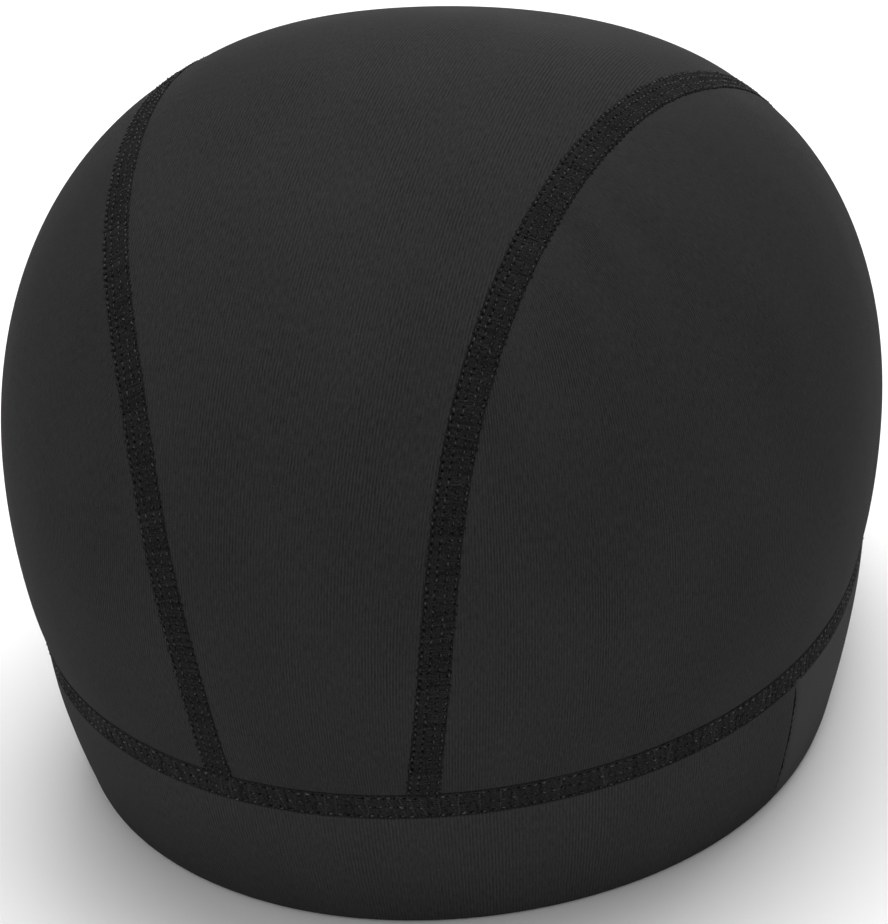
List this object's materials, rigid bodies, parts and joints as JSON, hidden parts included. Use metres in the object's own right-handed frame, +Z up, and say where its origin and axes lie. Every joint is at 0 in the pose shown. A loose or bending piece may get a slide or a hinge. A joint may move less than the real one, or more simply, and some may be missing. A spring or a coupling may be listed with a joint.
{
  "type": "skull cap",
  "caption": "Close-fitting jersey skull cap: curved centre and side panels meet in wide flatlock seams above a folded band, hollow and open below.",
  "frame": {"origin": "middle of the cap's plan box, on the surface that its rim stands on", "axes": "+Z up through the crown, +Y toward the wearer's front, +X toward the wearer's right"},
  "size_m": [0.1556, 0.1912, 0.1331],
  "materials": {
    "crown_jersey": "fine black weft-knit jersey, matt with a faint sheen",
    "band_jersey": "the same jersey folded double, matt",
    "flatlock_stitching": "dense black thread over abutted cloth edges",
    "join_stitching": "narrow closed join in black thread"
  },
  "bodies": {
    "root": {"crown_centre_panel": "crown_jersey", "side_panel_left": "crown_jersey", "side_panel_right": "crown_jersey", "crown_seam_left": "flatlock_stitching", "crown_seam_right": "flatlock_stitching", "band_seam": "flatlock_stitching", "band": "band_jersey", "band_join": "join_stitching"}
  },
  "joints": []
}
